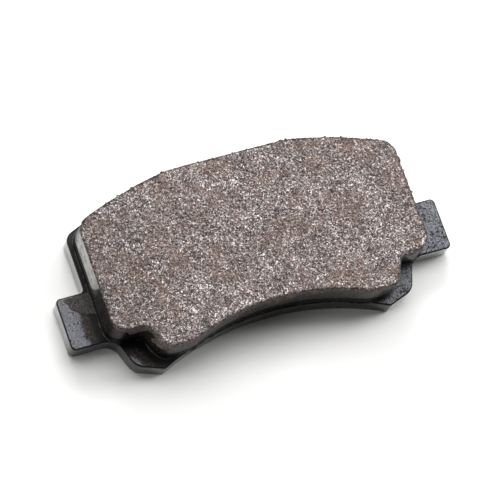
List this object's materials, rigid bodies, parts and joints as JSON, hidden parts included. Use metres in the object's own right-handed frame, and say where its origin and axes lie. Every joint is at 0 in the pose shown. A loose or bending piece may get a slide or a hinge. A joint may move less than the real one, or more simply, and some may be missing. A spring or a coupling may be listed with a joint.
{
  "type": "brake pad",
  "caption": "Disc brake pad: pressed steel backing plate with square side ears and lower lobes, carrying a speckled friction lining with notched lower corners.",
  "frame": {"origin": "middle of the pad's overall length and height, on the back face that the piston presses", "axes": "+X along the length from ear to ear, +Y towards the disc's rim, +Z out of the friction face"},
  "size_m": [0.117, 0.0538, 0.0175],
  "materials": {
    "plate_paint": "satin",
    "cured_adhesive": "satin",
    "underlayer_mix": "matte",
    "friction_mix": "matte"
  },
  "bodies": {
    "root": {"backing_plate": "plate_paint", "bond_film": "cured_adhesive", "underlayer": "underlayer_mix", "friction_block": "friction_mix"}
  },
  "joints": []
}
